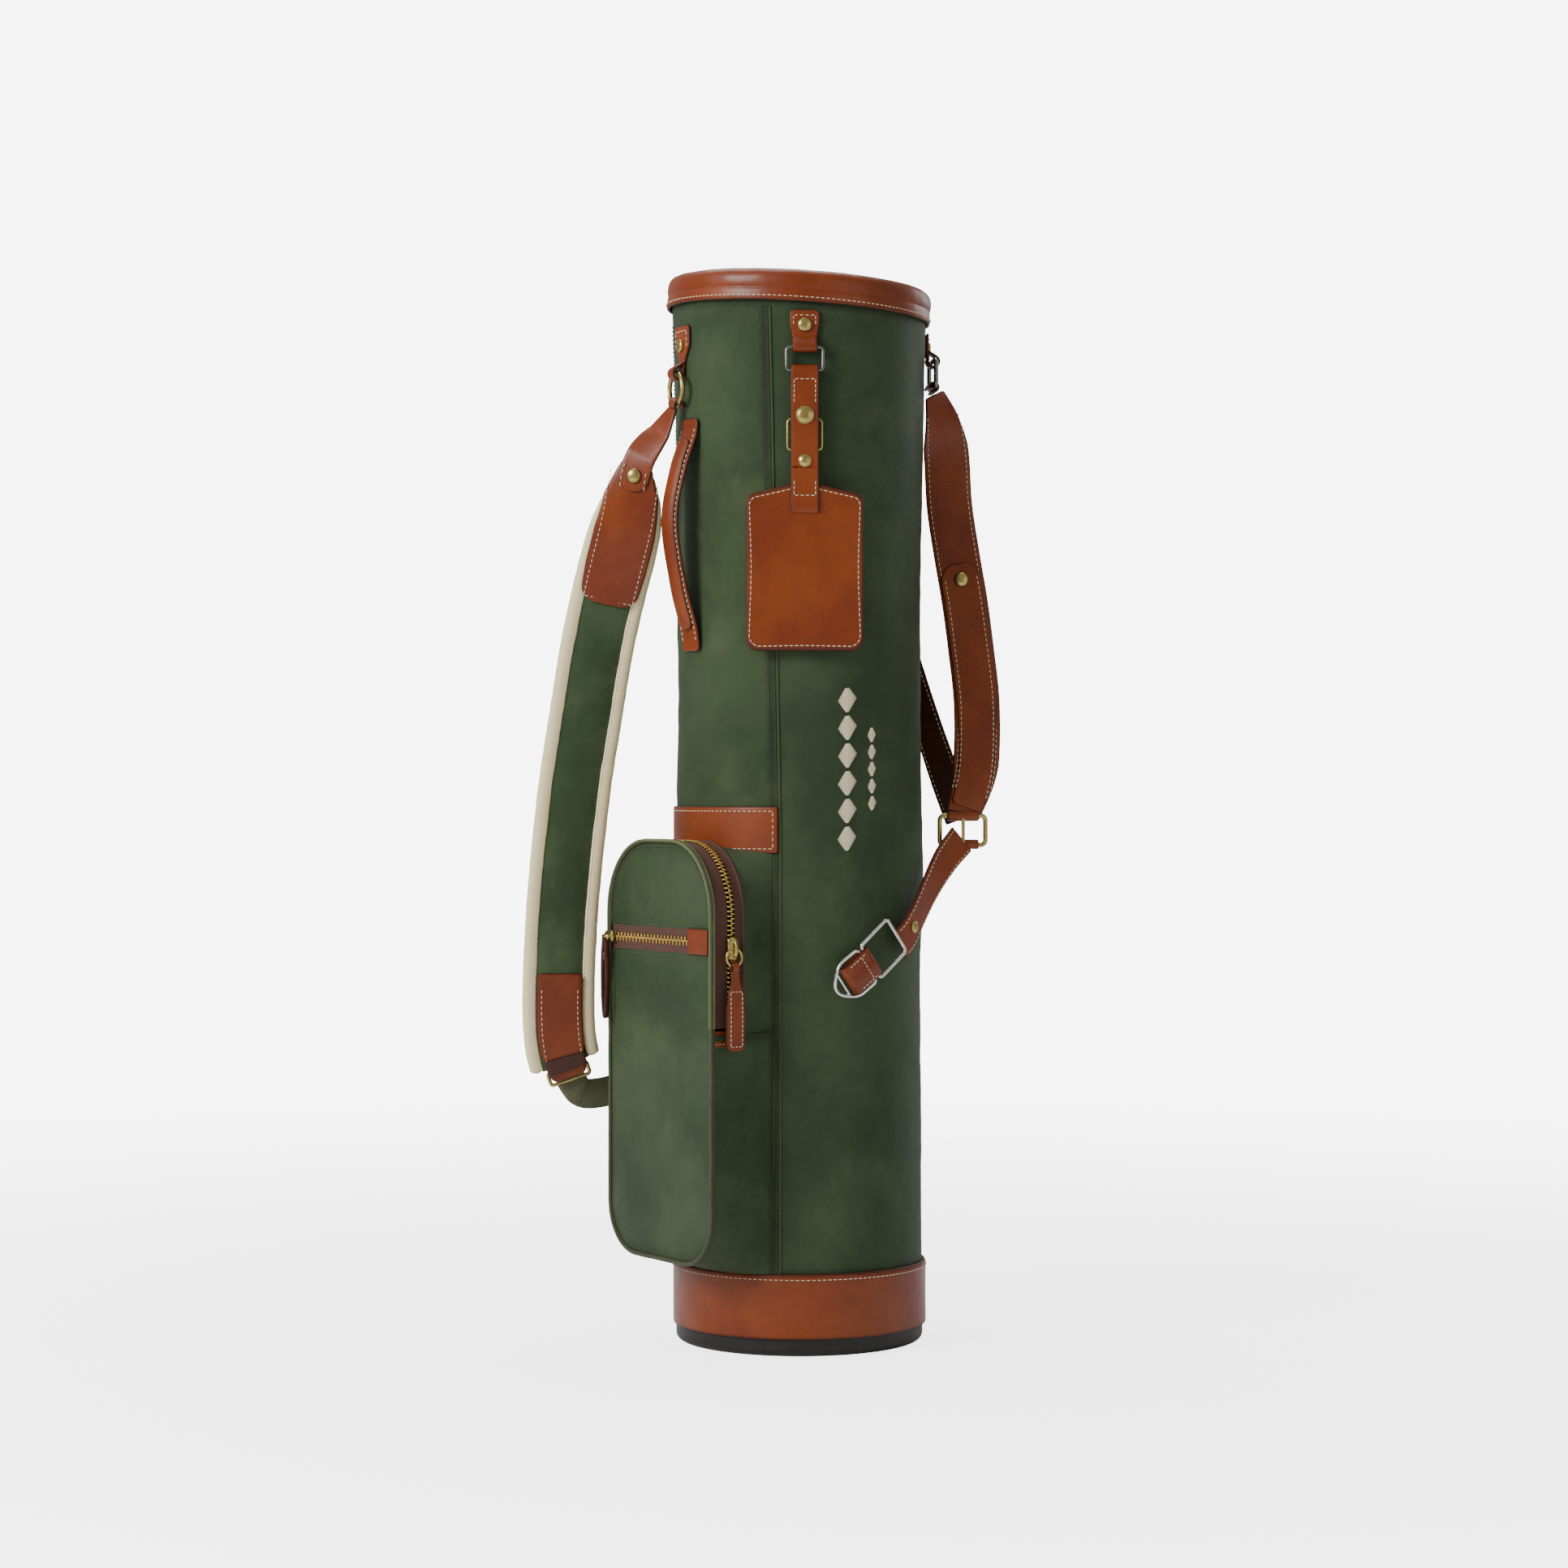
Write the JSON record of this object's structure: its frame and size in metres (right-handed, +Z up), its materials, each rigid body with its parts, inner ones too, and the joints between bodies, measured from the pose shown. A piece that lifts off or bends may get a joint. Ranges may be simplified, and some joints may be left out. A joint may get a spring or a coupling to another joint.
{
  "type": "golf bag",
  "caption": "Slim round canvas golf carry bag with leather trim, a zipped front pocket, a padded shoulder strap, a name tag and a side strap.",
  "frame": {"origin": "centre of the face that the bag rests on", "axes": "+Z up along the bag, -Y towards the front of the pocket, +X to the right of the pocket"},
  "size_m": [0.2712, 0.3295, 0.8683],
  "materials": {
    "waxed_canvas": "waxed, mottled dark green",
    "canvas_trim": "stitched welt",
    "piping": "olive bound cord",
    "tan_leather": "smooth, pulled-up tan",
    "dark_leather": "smooth, dark brown",
    "cream_binding": "cream bound edge",
    "webbing": "woven olive",
    "zip_tape": "brown woven tape with brass teeth",
    "brass": "antique",
    "gunmetal": "dark nickel",
    "nickel": "bright nickel",
    "foot_plastic": "black, satin",
    "frame_plastic": "black, matt",
    "tube_plastic": "natural",
    "steel": "zinc plated",
    "foam": "dense pad",
    "lining": "plain weave",
    "divider": "padded brown cloth"
  },
  "bodies": {
    "bag": {"base_foot": "foot_plastic", "foot_screws": "steel", "base_cup": "frame_plastic", "club_pad": "foam", "base_cuff": "tan_leather", "stiffening_tube": "tube_plastic", "lining": "lining", "main_canvas": "waxed_canvas", "front_canvas": "waxed_canvas", "seam_welts": "canvas_trim", "top_frame": "frame_plastic", "top_collar": "tan_leather", "divider_bar": "divider", "divider_cloth": "lining", "pocket_band": "tan_leather", "pocket_gusset": "waxed_canvas", "pocket_lower_panel": "waxed_canvas", "pocket_lower_piping": "piping", "main_zip_outer_chain": "zip_tape", "carry_handle": "tan_leather", "strap_tab": "tan_leather", "tag_tab": "tan_leather", "rear_tab": "tan_leather", "strap_anchors": "dark_leather", "body_rivets": "brass"},
    "pocket_flap": {"flap_panel": "waxed_canvas", "flap_piping": "piping", "main_zip_inner_chain": "zip_tape", "front_zip_chain": "zip_tape", "front_zip_patch": "tan_leather"},
    "main_zip_runner": {"main_zip_slider": "brass"},
    "main_zip_tab": {"main_zip_ring": "brass", "main_zip_pull": "tan_leather"},
    "front_zip_runner": {"front_zip_slider": "brass"},
    "front_zip_tab": {"front_zip_pull": "dark_leather"},
    "shoulder_strap": {"strap_ring": "brass", "strap_end_loop": "tan_leather", "strap_rivet": "brass", "shoulder_pad": "tan_leather", "strap_band": "waxed_canvas", "strap_binding": "cream_binding", "strap_lower_patch": "tan_leather", "strap_slide_bar": "brass", "strap_webbing": "webbing"},
    "tag_swivel": {"tag_ring": "gunmetal"},
    "name_tag": {"tag_strap": "tan_leather", "tag_snaps": "brass", "tag_plate": "tan_leather"},
    "side_sling": {"side_ring": "gunmetal", "side_strap": "tan_leather", "back_strap": "dark_leather", "side_rivet": "brass", "side_buckle": "brass"},
    "prong": {"buckle_prong": "brass"},
    "tail": {"tail_strap": "tan_leather", "tail_rivet": "brass"},
    "tail_square_ring": {"tail_ring": "nickel"},
    "tail_loop": {"tail_link": "tan_leather"},
    "tail_end_ring": {"end_ring": "nickel"}
  },
  "joints": [
    {"name": "flap_hinge", "type": "hinge", "parent": "bag", "child": "pocket_flap", "pos_m": [0, -0.136, 0.262], "axis": [1, 0, 0], "range_deg": [0, 75]},
    {"name": "main_zip_slide", "type": "slide", "parent": "pocket_flap", "child": "main_zip_runner", "axis": [0, 0, 1], "range_m": [-0.05, 0.012]},
    {"name": "main_pull_swing", "type": "hinge", "parent": "main_zip_runner", "child": "main_zip_tab", "pos_m": [0.0825, -0.115, 0.325], "axis": [0, -1, 0], "range_deg": [0, 95]},
    {"name": "front_zip_slide", "type": "slide", "parent": "pocket_flap", "child": "front_zip_runner", "axis": [1, 0, 0], "range_m": [0, 0.1]},
    {"name": "front_pull_swing", "type": "hinge", "parent": "front_zip_runner", "child": "front_zip_tab", "pos_m": [-0.073, -0.1397, 0.33], "axis": [-1, 0, 0], "range_deg": [0, 95]},
    {"name": "shoulder_swing", "type": "hinge", "parent": "bag", "child": "shoulder_strap", "pos_m": [-0.01532, -0.109, 0.7853], "axis": [0.1607, -0.1776, 0.9709], "range_deg": [-8, 8]},
    {"name": "tag_ring_swing", "type": "hinge", "parent": "bag", "child": "tag_swivel", "pos_m": [0.09241, -0.05552, 0.799], "axis": [-0.515, -0.8572, 0], "range_deg": [0, 80]},
    {"name": "name_tag_swing", "type": "hinge", "parent": "tag_swivel", "child": "name_tag", "pos_m": [0.09241, -0.05552, 0.781], "axis": [-0.515, -0.8572, 0], "range_deg": [0, 80]},
    {"name": "side_sling_swing", "type": "hinge", "parent": "bag", "child": "side_sling", "pos_m": [0.05016, 0.09844, 0.802], "axis": [0.2697, -0.0327, 0.9624], "range_deg": [0, 8]},
    {"name": "prong_swing", "type": "hinge", "parent": "side_sling", "child": "prong", "pos_m": [0.07298, 0.11238, 0.428], "axis": [-0.4384, -0.8988, 0], "range_deg": [0, 100]},
    {"name": "tail_swing", "type": "hinge", "parent": "side_sling", "child": "tail", "pos_m": [0.07298, 0.11238, 0.404], "axis": [-0.4384, -0.8988, 0], "range_deg": [0, 50]},
    {"name": "tail_ring_swing", "type": "hinge", "parent": "tail", "child": "tail_square_ring", "pos_m": [0.10642, 0.02276, 0.33347], "axis": [0.0537, -0.6133, 0.788], "range_deg": [0, 60]},
    {"name": "tail_loop_swing", "type": "hinge", "parent": "tail_square_ring", "child": "tail_loop", "pos_m": [0.10876, -0.00393, 0.31253], "axis": [0.0537, -0.6133, 0.788], "range_deg": [0, 60]},
    {"name": "end_ring_swing", "type": "hinge", "parent": "tail_loop", "child": "tail_end_ring", "pos_m": [0.10862, -0.00693, 0.31021], "axis": [0.0537, -0.6133, 0.788], "range_deg": [0, 60]}
  ]
}
